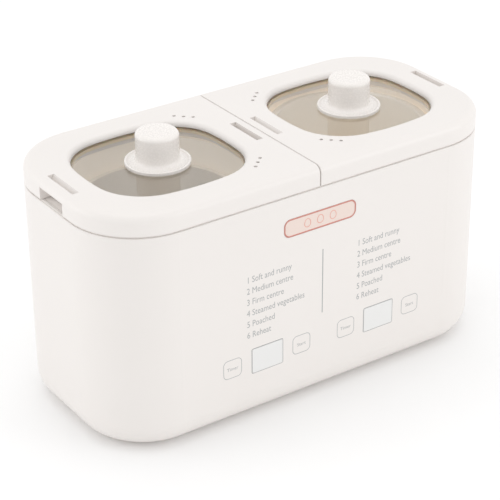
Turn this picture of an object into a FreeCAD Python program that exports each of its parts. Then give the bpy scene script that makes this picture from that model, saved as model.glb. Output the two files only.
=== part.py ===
"""Twin-bowl egg cooker: two lift-off lids over a steel pot and a ceramic pot, side by side.

+X runs along the long side, -Y is the control panel, +Z is up. The origin is the centre of
the footprint on the table. Left means -X, as a person facing the panel sees it.
All sizes are millimetres and live in the "Dims" spreadsheet.
"""
import FreeCAD, Part
import Sketcher
import math
import os
import re

SIZES = {
    # outer casing
    "shell_length": 290.0, "shell_depth": 135.0, "shell_height": 144.9, "shell_wall": 2.6,
    "corner_radius": 45.0, "bottom_rounding": 16.0, "bottom_inner_rounding": 12.0,
    "shell_floor": 4.0, "foot_proud": 1.5, "edge_break": 0.4, "rim_step": 1.3,
    # bottom cover, its opening, feet and screws
    "cover_length": 255.0, "cover_depth": 100.0, "cover_thickness": 2.3, "cover_corner": 25.0,
    "opening_length": 220.0, "opening_depth": 74.0, "opening_corner": 20.0,
    "slot_length": 42.0, "slot_width": 3.0, "slot_pitch": 8.0,
    "foot_radius": 7.0, "foot_height": 2.6, "foot_x": 100.0, "foot_y": 36.0,
    "post_x": 120.0, "post_y": 42.0, "post_radius": 5.0,
    "cover_post_x": 114.0, "cover_post_y": 38.0, "cover_post_height": 14.0,
    "screw_radius": 1.5, "screw_head_radius": 2.8, "screw_head_height": 1.1, "screw_length": 11.0,
    "thread_gap": 0.05, "fit_gap": 0.2, "loose_gap": 0.3,
    # deck under the lids and the two wells
    "deck_thickness": 3.0, "deck_rise": 0.7,
    "bowl_spread": 71.8, "well_bore": 53.2, "well_wall": 2.0, "well_flange_width": 3.8,
    "well_flange_thickness": 1.5, "well_bottom": 44.0, "well_floor": 2.0, "well_floor_step": 0.5,
    # heating parts under each well
    "plate_gap": 3.2, "plate_thickness": 4.0, "seal_thickness": 1.0, "seal_width": 4.5,
    "ring_inset": 14.0, "ring_tube": 3.3, "ring_sweep": 320.0, "ring_turn": 110.0,
    "sensor_radius": 5.0, "sensor_height": 8.0,
    "fuse_radius": 2.2, "fuse_length": 14.0, "fuse_offset": 18.0,
    "shield_gap": 3.2, "shield_wall": 0.8, "shield_bottom": 32.0, "shield_rim_width": 4.0,
    # pots
    "steel_rim_gap": 1.8, "steel_rim_width": 2.4, "steel_taper": 5.0, "steel_wall": 0.9,
    "steel_rim_drop": 16.6, "steel_rounding": 9.0,
    "ceramic_rim_gap": 1.4, "ceramic_rim_width": 1.2, "ceramic_taper": 5.6, "ceramic_wall": 3.2,
    "ceramic_rim_drop": 2.6, "ceramic_rim_height": 4.0, "ceramic_rounding": 10.0,
    "pot_gap": 0.4,
    # lids
    "parting_gap": 1.0, "lid_height": 13.1, "lid_rounding": 5.0, "lid_wall": 2.4, "lid_skin": 3.0,
    "seam_gap": 0.6, "seam_rounding": 0.7, "window_half_length": 49.0, "window_half_width": 45.2,
    "window_side_radius": 150.0, "window_corner": 32.0, "window_edge": 3.0, "window_sink": 3.5,
    "window_ledge": 3.0, "ring_wall": 2.4, "glass_thickness": 3.0, "gasket_height": 2.0,
    "gasket_inset": 1.0, "outer_strap": 6.3, "seam_strap": 5.0, "scoop_run": 4.6, "scoop_depth": 9.0,
    "scoop_width": 30.0, "notch_height": 8.2, "notch_width": 27.0, "grip_block": 16.0,
    "vent_radius": 1.2, "vent_x": 27.2, "vent_y": 41.0, "vent_step_x": 4.45, "vent_step_y": 4.15,
    # knobs
    "knob_radius": 13.3, "knob_height": 20.8, "knob_flange": 20.2, "knob_rim_height": 1.9,
    "knob_rim_width": 1.1, "knob_dish_height": 1.2, "knob_rim_rounding": 0.4,
    "knob_fillet": 3.0, "knob_rounding": 3.0, "knob_bore": 2.1,
    "knob_bore_depth": 12.0, "knob_screw_radius": 2.0, "washer_radius": 7.0,
    "washer_thickness": 1.2, "knob_screw_head": 3.8, "knob_screw_head_height": 2.0,
    # control panel
    "panel_shift": 3.6, "panel_spread": 42.7, "panel_level": 43.0, "key_spacing": 25.6,
    "lens_width": 22.4, "lens_height": 16.6, "lens_corner": 1.0, "lens_proud": 0.15,
    "lens_gap": 0.15, "cut_overrun": 1.0,
    "badge_width": 53.5, "badge_height": 12.0, "badge_corner": 4.5,
    "badge_thickness": 0.8, "badge_drop": 20.6,
    "board_width": 176.0, "board_height": 44.0, "board_thickness": 1.6, "board_standoff": 2.9,
    "board_post_x": 81.0, "board_post_z": 16.0, "board_post_radius": 3.0,
    "small_screw_radius": 1.2, "small_head_radius": 2.4, "small_head_height": 1.4,
    "small_screw_length": 3.4, "pad_radius": 5.0, "buzzer_radius": 6.0, "buzzer_height": 4.0,
    # power parts
    "power_width": 90.0, "power_depth": 62.0, "power_level": 13.0, "power_post_x": 38.0,
    "power_post_y": 25.0, "relay_width": 15.0, "relay_depth": 19.0, "relay_height": 13.0,
    "relay_x": 22.0, "relay_y": 14.0, "module_width": 34.0, "module_depth": 24.0,
    "module_height": 15.0, "module_y": -14.0,
    "inlet_width": 27.0, "inlet_height": 19.0, "inlet_depth": 23.0, "inlet_level": 32.0,
    "inlet_flange": 4.5, "inlet_flange_thickness": 2.0, "socket_width": 21.0,
    "socket_height": 13.0, "socket_depth": 17.0, "socket_corner": 3.0, "pin_radius": 1.2,
    "pin_length": 24.0, "pin_proud": 12.0, "pin_spacing": 5.0, "pin_rise": 2.0,
}

SHELL_TOP = "(foot_proud + shell_height)"
DECK_TOP = f"({SHELL_TOP} + deck_rise)"
DECK_BOTTOM = f"({DECK_TOP} - deck_thickness)"
LID_BOTTOM = f"({SHELL_TOP} + parting_gap)"
LID_TOP = f"({LID_BOTTOM} + lid_height)"
GLASS_TOP = f"({LID_TOP} - window_sink)"
GLASS_BOTTOM = f"({GLASS_TOP} - glass_thickness)"
PLATE_BOTTOM = "(well_bottom + well_floor + seal_thickness)"
PLATE_TOP = f"({PLATE_BOTTOM} + plate_thickness)"
POT_BOTTOM = f"({PLATE_TOP} + pot_gap)"
CAVITY_FLOOR = "(foot_proud + shell_floor)"
COVER_TOP = "(foot_proud + cover_thickness)"
POWER_TOP = "(power_level + board_thickness)"
FRONT_INSIDE = "(shell_depth / 2 - shell_wall)"
BOARD_FRONT = f"({FRONT_INSIDE} - board_standoff)"
BOARD_BACK = f"({BOARD_FRONT} - board_thickness)"
PANEL_FACE = "(shell_depth / 2 + lens_proud)"
BADGE_LEVEL = f"({SHELL_TOP} - badge_drop)"
PLATE_RADIUS = "(well_bore - plate_gap)"
SEAL_HOLE = f"({PLATE_RADIUS} - seal_width)"
SHIELD_RADIUS = "(well_bore - shield_gap)"
STEEL_RIM = "(well_bore - steel_rim_gap)"
STEEL_RADIUS = f"({STEEL_RIM} - steel_rim_width)"
STEEL_BASE = f"({STEEL_RADIUS} - steel_taper)"
STEEL_TOP = f"({DECK_TOP} - steel_rim_drop)"
CERAMIC_RIM = "(well_bore - ceramic_rim_gap)"
CERAMIC_RADIUS = f"({CERAMIC_RIM} - ceramic_rim_width)"
CERAMIC_BASE = f"({CERAMIC_RADIUS} - ceramic_taper)"
CERAMIC_TOP = f"({DECK_TOP} - ceramic_rim_drop)"
SIDES = {"left": -1, "right": 1}
SLOT_ROWS = range(-2, 3)
NEAR = 1e-4
LEVEL_MATCH = 1e-3
SIZE_MATCH = 1e-2

doc = FreeCAD.newDocument("egg_cooker")
sheet = doc.addObject("Spreadsheet::Sheet", "Dims")
nodes = []


def fill_sheet():
    """Write every driving size into the sheet, one row each, under its own alias."""
    for row, (alias, number) in enumerate(SIZES.items(), start=1):
        sheet.set(f"A{row}", alias)
        sheet.set(f"B{row}", str(number))
        sheet.setAlias(f"B{row}", alias)
    doc.recompute()


def linked(formula):
    """Turn the plain names in a formula into references to the sheet."""
    def reference(match):
        word = match.group(0)
        return f"Dims.{word}" if word in SIZES else word
    return re.sub(r"[a-z][a-z_]*", reference, str(formula))


def value(formula):
    """The present number of a formula, worked out by the document's own expressions."""
    return float(sheet.evalExpression(linked(formula)))


def report_failures():
    """Print each object that could not be worked out, and why."""
    for item in doc.Objects:
        if "Invalid" in item.State or "Error" in item.State:
            print(f"{item.Name}: {item.State} {item.getStatusString()}")


def new_body(label):
    body = doc.addObject("PartDesign::Body", label)
    body.Label = label
    body.AllowCompound = True
    nodes.append(body)
    return body


def sketch_on(body, plane, offset="0", across="0"):
    """A sketch on one of the body's own planes, moved along its normal and sideways."""
    sketch = body.newObject("Sketcher::SketchObject", f"{body.Name}_sketch")
    planes = [item for item in body.Origin.OriginFeatures if item.Role == plane]
    sketch.AttachmentSupport = [(planes[0], "")]
    sketch.MapMode = "FlatFace"
    sketch.setExpression("AttachmentOffset.Base.z", linked(offset))
    sketch.setExpression("AttachmentOffset.Base.x", linked(across))
    return sketch


def bind(sketch, constraint, formula):
    """Add a constraint whose value follows the sheet."""
    index = sketch.addConstraint(Sketcher.Constraint(*constraint, value(formula)))
    sketch.setExpression(f"Constraints[{index}]", linked(formula))


def polygon(sketch, corners):
    """A closed outline whose every corner is bound to a pair of formulas."""
    points = [FreeCAD.Vector(value(across), value(up), 0) for across, up in corners]
    first = sketch.GeometryCount
    count = len(points)
    for index, start in enumerate(points):
        sketch.addGeometry(Part.LineSegment(start, points[(index + 1) % count]), False)
    for index, (across, up) in enumerate(corners):
        line = first + index
        following = first + (index + 1) % count
        sketch.addConstraint(Sketcher.Constraint("Coincident", line, 2, following, 1))
        bind(sketch, ("DistanceX", -1, 1, line, 1), across)
        bind(sketch, ("DistanceY", -1, 1, line, 1), up)


def rectangle(sketch, width, height, centre=("0", "0")):
    """A rectangle of the given full width and height about a centre."""
    left, right = f"{centre[0]} - ({width}) / 2", f"{centre[0]} + ({width}) / 2"
    low, high = f"{centre[1]} - ({height}) / 2", f"{centre[1]} + ({height}) / 2"
    polygon(sketch, [(left, low), (right, low), (right, high), (left, high)])


def rounded_rectangle(sketch, width, height, radius, centre=("0", "0"), sharp=()):
    """A rectangle with arcs at its corners, except those listed as sharp.

    The corners are numbered anticlockwise from the lower left, 0 to 3.
    """
    signs = [(-1, -1), (1, -1), (1, 1), (-1, 1)]
    ways = [FreeCAD.Vector(*way, 0) for way in ((1, 0), (0, 1), (-1, 0), (0, -1))]
    corners = [(f"{centre[0]} + {sx} * ({width}) / 2", f"{centre[1]} + {sy} * ({height}) / 2")
               for sx, sy in signs]
    points = [FreeCAD.Vector(value(across), value(up), 0) for across, up in corners]
    radii = [0 if index in sharp else value(radius) for index in range(4)]
    first = sketch.GeometryCount
    for index, way in enumerate(ways):
        following = (index + 1) % 4
        start = points[index] + way * radii[index]
        end = points[following] - way * radii[following]
        sketch.addGeometry(Part.LineSegment(start, end), False)
    for index, (sx, sy) in enumerate(signs):
        line, earlier = first + index, first + (index + 3) % 4
        across, up = corners[index]
        if index in sharp:
            sketch.addConstraint(Sketcher.Constraint("Coincident", earlier, 2, line, 1))
            bind(sketch, ("DistanceX", -1, 1, line, 1), across)
            bind(sketch, ("DistanceY", -1, 1, line, 1), up)
            continue
        middle = points[index] - FreeCAD.Vector(sx, sy, 0) * radii[index]
        whole = Part.Circle(middle, FreeCAD.Vector(0, 0, 1), radii[index])
        begin = math.pi + index * math.pi / 2
        arc = sketch.addGeometry(Part.ArcOfCircle(whole, begin, begin + math.pi / 2), False)
        sketch.addConstraint(Sketcher.Constraint("Tangent", earlier, 2, arc, 1))
        sketch.addConstraint(Sketcher.Constraint("Tangent", arc, 2, line, 1))
        bind(sketch, ("Radius", arc), radius)
        bind(sketch, ("DistanceX", -1, 1, arc, 3), f"{across} - {sx} * ({radius})")
        bind(sketch, ("DistanceY", -1, 1, arc, 3), f"{up} - {sy} * ({radius})")


def circle(sketch, radius, centre=("0", "0")):
    """A circle bound to the sheet by its radius and centre."""
    middle = FreeCAD.Vector(value(centre[0]), value(centre[1]), 0)
    ring = sketch.addGeometry(Part.Circle(middle, FreeCAD.Vector(0, 0, 1), value(radius)), False)
    bind(sketch, ("Radius", ring), radius)
    bind(sketch, ("DistanceX", -1, 1, ring, 3), centre[0])
    bind(sketch, ("DistanceY", -1, 1, ring, 3), centre[1])


def circles(sketch, radius, centres):
    """Several equal circles on one sketch."""
    for centre in centres:
        circle(sketch, radius, centre)


def bowed_rectangle(sketch, half_length, half_width, side_radius, corner_radius, centre_x):
    """Four large arcs that bow outwards, with a small tangent arc at each corner."""
    bow, tight = value(side_radius), value(corner_radius)
    inner_x, inner_y = bow - value(half_length), bow - value(half_width)
    gap = math.hypot(inner_x, inner_y)
    along = math.sqrt((bow - tight) ** 2 - gap ** 2 / 4) / gap
    corner_x = -inner_x / 2 + inner_y * along
    corner_y = -inner_y / 2 + inner_x * along
    rise = math.atan2(corner_y, corner_x + inner_x)
    steep = math.atan2(corner_y + inner_y, corner_x)
    half, full = math.pi, 2 * math.pi
    reach_x = f"({side_radius} - ({half_length}))"
    reach_y = f"({side_radius} - ({half_width}))"
    sides = [((-inner_x, 0), -rise, rise, (f"{centre_x} - {reach_x}", "0")),
             ((0, -inner_y), steep, half - steep, (centre_x, f"-{reach_y}")),
             ((inner_x, 0), half - rise, half + rise, (f"{centre_x} + {reach_x}", "0")),
             ((0, inner_y), half + steep, full - steep, (centre_x, reach_y))]
    turns = [((corner_x, corner_y), rise, steep), ((-corner_x, corner_y), half - steep, half - rise),
             ((-corner_x, -corner_y), half + rise, half + steep),
             ((corner_x, -corner_y), full - steep, full - rise)]
    first = sketch.GeometryCount
    middle = FreeCAD.Vector(value(centre_x), 0, 0)
    upwards = FreeCAD.Vector(0, 0, 1)
    for side, turn in zip(sides, turns):
        arcs = ((side[0], bow, side[1], side[2]), (turn[0], tight, turn[1], turn[2]))
        for centre, radius, begin, end in arcs:
            whole = Part.Circle(middle + FreeCAD.Vector(*centre, 0), upwards, radius)
            sketch.addGeometry(Part.ArcOfCircle(whole, begin, end), False)
    for index in range(8):
        arc, following = first + index, first + (index + 1) % 8
        sketch.addConstraint(Sketcher.Constraint("Tangent", arc, 2, following, 1))
        bind(sketch, ("Radius", arc), corner_radius if index % 2 else side_radius)
    for index, side in enumerate(sides):
        arc = first + 2 * index
        bind(sketch, ("DistanceX", -1, 1, arc, 3), side[3][0])
        bind(sketch, ("DistanceY", -1, 1, arc, 3), side[3][1])


def add(body, sketch, length, backwards=False):
    """Pad a sketch along its normal, or against it."""
    pad = body.newObject("PartDesign::Pad", f"{body.Name}_pad")
    pad.Profile = sketch
    pad.setExpression("Length", linked(length))
    pad.Reversed = backwards
    body.Tip = pad
    doc.recompute()
    return pad


def cut(body, sketch, depth, backwards=False):
    """Pocket a sketch against its normal, or along it, and insist that it removes something."""
    before = body.Shape.Volume
    pocket = body.newObject("PartDesign::Pocket", f"{body.Name}_pocket")
    pocket.Profile = sketch
    pocket.setExpression("Length", linked(depth))
    pocket.Reversed = backwards
    body.Tip = pocket
    doc.recompute()
    if not body.Shape.Volume < before - NEAR:
        report_failures()
        raise RuntimeError(f"{body.Label}: a pocket removed nothing")
    return pocket


def revolve(body, corners, across="0"):
    """Turn an outline of (radius, level) corners about the upright axis at X = across."""
    sketch = sketch_on(body, "XZ_Plane", across=across)
    polygon(sketch, corners)
    turned = body.newObject("PartDesign::Revolution", f"{body.Name}_revolution")
    turned.Profile = sketch
    turned.ReferenceAxis = (sketch, ["V_Axis"])
    turned.Angle = 360.0
    body.Tip = turned
    doc.recompute()
    return turned


def dress(body, kind, wanted, size):
    """Fillet or chamfer the edges that the test wants."""
    names = [f"Edge{number}" for number, edge in enumerate(body.Shape.Edges, start=1) if wanted(edge)]
    if not names:
        raise RuntimeError(f"{body.Label}: no edge to {kind.lower()}")
    base = body.Tip
    feature = body.newObject(f"PartDesign::{kind}", f"{body.Name}_{kind.lower()}")
    feature.Base = (base, names)
    feature.setExpression("Radius" if kind == "Fillet" else "Size", linked(size))
    body.Tip = feature
    doc.recompute()
    return feature


def heights(edge):
    return [vertex.Z for vertex in edge.Vertexes]


def upright(edge):
    """True for a straight edge along Z."""
    ends = [vertex.Point for vertex in edge.Vertexes]
    if len(ends) != 2:
        return False
    return math.hypot(ends[0].x - ends[1].x, ends[0].y - ends[1].y) < NEAR


def along_y(edge):
    """True for a straight edge along Y."""
    ends = [vertex.Point for vertex in edge.Vertexes]
    if len(ends) != 2:
        return False
    return math.hypot(ends[0].x - ends[1].x, ends[0].z - ends[1].z) < NEAR


def at_level(edge, level):
    """True for an edge that lies flat at one height."""
    box = edge.BoundBox
    return abs(box.ZMin - level) < LEVEL_MATCH and abs(box.ZMax - level) < LEVEL_MATCH


def disc(label, radius, low, high, places):
    """Upright round bars at the given centres, as one node."""
    body = new_body(label)
    sketch = sketch_on(body, "XY_Plane", low)
    circles(sketch, radius, places)
    add(body, sketch, f"{high} - ({low})")
    return body


def block(label, width, depth, low, high, centres):
    """Upright blocks of one size at the given centres, as one node."""
    body = new_body(label)
    sketch = sketch_on(body, "XY_Plane", low)
    for centre in centres:
        rectangle(sketch, width, depth, centre)
    add(body, sketch, f"{high} - ({low})")
    return body


def corner_pairs(across, along):
    """The four sign combinations of one place, as formulas."""
    return [(f"{sx} * {across}", f"{sy} * {along}") for sx in (-1, 1) for sy in (-1, 1)]


def key_centres():
    """The four touch keys, two beside each display, as formulas across the front."""
    centres = []
    for side in SIDES.values():
        for step in (-1, 1):
            across = f"panel_shift + {side} * panel_spread + {step} * key_spacing"
            centres.append((across, "panel_level"))
    return centres


def board_posts():
    """The four posts behind the panel that carry the control board."""
    return [(f"{across} * board_post_x", f"panel_level + {up} * board_post_z")
            for across in (-1, 1) for up in (-1, 1)]


def build_shell():
    """The one-piece outer casing: a deep rounded tub with a stepped rim and screw posts inside."""
    body = new_body("outer_shell")
    sketch = sketch_on(body, "XY_Plane", "foot_proud")
    rectangle(sketch, "shell_length", "shell_depth")
    add(body, sketch, "shell_height")
    dress(body, "Fillet", upright, "corner_radius")
    top = value(SHELL_TOP)
    dress(body, "Chamfer", lambda edge: at_level(edge, top), "edge_break")

    sketch = sketch_on(body, "XY_Plane", SHELL_TOP)
    rounded_rectangle(sketch, "shell_length - 2 * rim_step", "shell_depth - 2 * rim_step",
                      "corner_radius - rim_step")
    add(body, sketch, "deck_rise")
    sketch = sketch_on(body, "XY_Plane", DECK_TOP)
    rounded_rectangle(sketch, "shell_length - 2 * shell_wall", "shell_depth - 2 * shell_wall",
                      "corner_radius - shell_wall")
    cut(body, sketch, f"{DECK_TOP} - {CAVITY_FLOOR}")
    floor = value(CAVITY_FLOOR)
    dress(body, "Fillet", lambda edge: at_level(edge, floor), "bottom_inner_rounding")
    dress(body, "Fillet", lambda edge: at_level(edge, value("foot_proud")), "bottom_rounding")

    sketch = sketch_on(body, "XY_Plane", CAVITY_FLOOR)
    circles(sketch, "post_radius", corner_pairs("post_x", "post_y"))
    add(body, sketch, f"{DECK_BOTTOM} - {CAVITY_FLOOR}")
    sketch = sketch_on(body, "XY_Plane", CAVITY_FLOOR)
    circles(sketch, "post_radius", corner_pairs("cover_post_x", "cover_post_y"))
    add(body, sketch, "cover_post_height")
    cut_shell_bottom(body)
    cut_shell_walls(body)


def cut_shell_bottom(body):
    """The rebate for the cover, the opening above it and the screw holes in the posts."""
    sketch = sketch_on(body, "XY_Plane", "foot_proud")
    rounded_rectangle(sketch, "cover_length", "cover_depth", "cover_corner")
    cut(body, sketch, "cover_thickness + fit_gap", backwards=True)
    sketch = sketch_on(body, "XY_Plane", "foot_proud")
    rounded_rectangle(sketch, "opening_length", "opening_depth", "opening_corner")
    cut(body, sketch, "shell_floor", backwards=True)
    sketch = sketch_on(body, "XY_Plane", "foot_proud")
    circles(sketch, "screw_radius + thread_gap", corner_pairs("cover_post_x", "cover_post_y"))
    cut(body, sketch, "screw_length + 2 * cover_thickness", backwards=True)
    sketch = sketch_on(body, "XY_Plane", DECK_BOTTOM)
    circles(sketch, "screw_radius + thread_gap", corner_pairs("post_x", "post_y"))
    cut(body, sketch, "screw_length")


def cut_shell_walls(body):
    """The display windows, the badge's seat and board posts in front, the inlet hole behind."""
    for side in SIDES.values():
        sketch = sketch_on(body, "XZ_Plane", "shell_depth / 2")
        rounded_rectangle(sketch, "lens_width + 2 * lens_gap", "lens_height + 2 * lens_gap",
                          "lens_corner + lens_gap", (f"panel_shift + {side} * panel_spread", "panel_level"))
        cut(body, sketch, "shell_wall")
    sketch = sketch_on(body, "XZ_Plane", "shell_depth / 2")
    rounded_rectangle(sketch, "badge_width + 2 * lens_gap", "badge_height + 2 * lens_gap",
                      "badge_corner + lens_gap", ("0", BADGE_LEVEL))
    cut(body, sketch, "badge_thickness")
    sketch = sketch_on(body, "XZ_Plane", FRONT_INSIDE)
    circles(sketch, "board_post_radius", board_posts())
    add(body, sketch, "board_standoff", backwards=True)
    sketch = sketch_on(body, "XZ_Plane", BOARD_FRONT)
    circles(sketch, "small_screw_radius + thread_gap", board_posts())
    cut(body, sketch, "board_standoff", backwards=True)
    sketch = sketch_on(body, "XZ_Plane", "-shell_depth / 2")
    rectangle(sketch, "inlet_width + 2 * lens_gap", "inlet_height + 2 * lens_gap", ("0", "inlet_level"))
    cut(body, sketch, "shell_wall", backwards=True)


def build_cover():
    """The bottom cover in the shell's rebate, with vent slots and the power board's posts."""
    body = new_body("base_cover")
    sketch = sketch_on(body, "XY_Plane", "foot_proud")
    rounded_rectangle(sketch, "cover_length - 2 * fit_gap", "cover_depth - 2 * fit_gap",
                      "cover_corner - fit_gap")
    add(body, sketch, "cover_thickness")
    power_posts = corner_pairs("power_post_x", "power_post_y")
    sketch = sketch_on(body, "XY_Plane", COVER_TOP)
    circles(sketch, "board_post_radius", power_posts)
    add(body, sketch, f"power_level - {COVER_TOP}")
    sketch = sketch_on(body, "XY_Plane", "power_level")
    circles(sketch, "small_screw_radius + thread_gap", power_posts)
    cut(body, sketch, "small_screw_length")
    screw_places = ("cover_post_x", "cover_post_y")
    holes = (("screw_radius + fit_gap", screw_places, "cover_thickness"),
             ("screw_head_radius + fit_gap", screw_places, "screw_head_height + 2 * thread_gap"),
             ("foot_radius + fit_gap", ("foot_x", "foot_y"), "foot_height - foot_proud"))
    for radius, place, depth in holes:
        sketch = sketch_on(body, "XY_Plane", "foot_proud")
        circles(sketch, radius, corner_pairs(*place))
        cut(body, sketch, depth, backwards=True)
    for side in SIDES.values():
        sketch = sketch_on(body, "XY_Plane", "foot_proud")
        for row in SLOT_ROWS:
            rectangle(sketch, "slot_length", "slot_width", (f"{side} * bowl_spread", f"{row} * slot_pitch"))
        cut(body, sketch, "cover_thickness", backwards=True)


def screws(label, centres, seat, shank_length, head, shank, points_up):
    """Upright screws: each head stands on its seat level, and its shank goes the other way."""
    body = new_body(label)
    head_radius, head_height = head
    sketch = sketch_on(body, "XY_Plane", seat)
    circles(sketch, head_radius, centres)
    add(body, sketch, head_height, backwards=points_up)
    sketch = sketch_on(body, "XY_Plane", seat)
    circles(sketch, shank, centres)
    add(body, sketch, shank_length, backwards=not points_up)
    return body


def build_deck():
    """The inner deck that closes the casing under the lids and carries both wells."""
    body = new_body("top_deck")
    sketch = sketch_on(body, "XY_Plane", DECK_BOTTOM)
    rounded_rectangle(sketch, "shell_length - 2 * shell_wall - 2 * loose_gap",
                      "shell_depth - 2 * shell_wall - 2 * loose_gap",
                      "corner_radius - shell_wall - loose_gap")
    add(body, sketch, "deck_thickness")
    wells = [(f"{side} * bowl_spread", "0") for side in SIDES.values()]
    posts = corner_pairs("post_x", "post_y")
    holes = (("well_bore + well_wall + fit_gap", wells, "deck_thickness"),
             ("well_bore + well_wall + well_flange_width + fit_gap", wells, "well_flange_thickness"),
             ("screw_radius + fit_gap", posts, "deck_thickness"),
             ("screw_head_radius + fit_gap", posts, "screw_head_height + 2 * thread_gap"))
    for radius, centres, depth in holes:
        sketch = sketch_on(body, "XY_Plane", DECK_TOP)
        circles(sketch, radius, centres)
        cut(body, sketch, depth)


def build_well(name, side):
    """One well with its heating parts: plate on a seal, sheathed ring, sensor, fuse and shield."""
    axis = f"{side} * bowl_spread"
    flange_under = f"{DECK_TOP} - well_flange_thickness"
    outside = "well_bore + well_wall"
    flange = f"{outside} + well_flange_width"
    floor_hole = f"{SEAL_HOLE} - well_floor_step"
    floor_top = "well_bottom + well_floor"
    revolve(new_body(f"well_{name}"), [
        ("well_bore", DECK_TOP), (flange, DECK_TOP), (flange, flange_under),
        (outside, flange_under), (outside, "well_bottom"), (floor_hole, "well_bottom"),
        (floor_hole, floor_top), ("well_bore", floor_top)], axis)
    revolve(new_body(f"plate_seal_{name}"), [
        (SEAL_HOLE, floor_top), (PLATE_RADIUS, floor_top),
        (PLATE_RADIUS, PLATE_BOTTOM), (SEAL_HOLE, PLATE_BOTTOM)], axis)
    sensor_hole = "sensor_radius + fit_gap"
    plate = new_body(f"heating_plate_{name}")
    revolve(plate, [
        (sensor_hole, PLATE_BOTTOM), (PLATE_RADIUS, PLATE_BOTTOM),
        (PLATE_RADIUS, PLATE_TOP), (sensor_hole, PLATE_TOP)], axis)
    dress(plate, "Chamfer", lambda edge: at_level(edge, value(PLATE_TOP)), "edge_break")
    sensor = new_body(f"thermal_sensor_{name}")
    revolve(sensor, [
        ("0", f"{PLATE_TOP} - sensor_height"), ("sensor_radius", f"{PLATE_TOP} - sensor_height"),
        ("sensor_radius", PLATE_TOP), ("0", PLATE_TOP)], axis)
    dress(sensor, "Chamfer", lambda edge: at_level(edge, value(PLATE_TOP)), "edge_break")

    ring = new_primitive("Part::Torus", f"heater_ring_{name}", Radius1=f"{PLATE_RADIUS} - ring_inset",
                         Radius2="ring_tube", Angle3="ring_sweep")
    ring.Placement.Rotation = FreeCAD.Rotation(FreeCAD.Vector(0, 0, 1), value("ring_turn"))
    place(ring, axis, "0", f"{PLATE_BOTTOM} - ring_tube - thread_gap")
    fuse = new_primitive("Part::Cylinder", f"thermal_fuse_{name}", Radius="fuse_radius",
                         Height="fuse_length")
    fuse.Placement.Rotation = FreeCAD.Rotation(FreeCAD.Vector(1, 0, 0), -90)
    place(fuse, f"{axis} + fuse_offset", "-fuse_length / 2", f"{PLATE_BOTTOM} - fuse_radius - thread_gap")

    inside = f"{SHIELD_RADIUS} - shield_wall"
    rim = f"{SHIELD_RADIUS} + shield_rim_width"
    rim_under = "well_bottom - shield_wall"
    revolve(new_body(f"heat_shield_{name}"), [
        ("0", "shield_bottom"), (SHIELD_RADIUS, "shield_bottom"), (SHIELD_RADIUS, rim_under),
        (rim, rim_under), (rim, "well_bottom"), (inside, "well_bottom"),
        (inside, "shield_bottom + shield_wall"), ("0", "shield_bottom + shield_wall")], axis)


def new_primitive(kind, label, **sizes):
    """A Part primitive whose named properties follow the sheet."""
    piece = doc.addObject(kind, label)
    piece.Label = label
    for name, formula in sizes.items():
        piece.setExpression(name, linked(formula))
    nodes.append(piece)
    return piece


def place(piece, across, along, up):
    """Bind a primitive's place to the sheet."""
    for name, formula in zip("xyz", (across, along, up)):
        piece.setExpression(f"Placement.Base.{name}", linked(formula))


def build_pot(label, axis, outline, rounding, wall, inner_rounding):
    """A pot turned from (base, body, rim) radii and (under rim, top) levels, with a rounded foot."""
    base, radius, rim, under, top = outline
    body = new_body(label)
    revolve(body, [
        ("0", POT_BOTTOM), (base, POT_BOTTOM), (radius, under), (rim, under), (rim, top),
        (f"{radius} - {wall}", top), (f"{base} - {wall}", f"{POT_BOTTOM} + {wall}"),
        ("0", f"{POT_BOTTOM} + {wall}")], axis)
    dress(body, "Fillet", lambda edge: at_level(edge, value(POT_BOTTOM)), rounding)
    inner = value(f"{POT_BOTTOM} + {wall}")
    dress(body, "Fillet", lambda edge: at_level(edge, inner), inner_rounding)
    return body


def build_pots():
    """The pressed stainless pot on the left, and the thicker, taller glazed one on the right."""
    build_pot("steel_pot", "-bowl_spread",
              (STEEL_BASE, STEEL_RADIUS, STEEL_RIM, f"{STEEL_TOP} - steel_wall", STEEL_TOP),
              "steel_rounding", "steel_wall", "steel_rounding - steel_wall")
    under = f"{CERAMIC_TOP} - ceramic_rim_height"
    ceramic = build_pot("ceramic_pot", "bowl_spread",
                        (CERAMIC_BASE, CERAMIC_RADIUS, CERAMIC_RIM, under, CERAMIC_TOP),
                        "ceramic_rounding", "ceramic_wall", "ceramic_rounding - ceramic_wall / 2")
    dress(ceramic, "Fillet", lambda edge: at_level(edge, value(CERAMIC_TOP)), "ceramic_wall / 3")


def window_outline(sketch, side, grow):
    """The window's bowed outline, grown all round by a formula."""
    bowed_rectangle(sketch, f"window_half_length + {grow}", f"window_half_width + {grow}",
                    f"window_side_radius + {grow}", f"window_corner + {grow}", f"{side} * bowl_spread")


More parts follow.
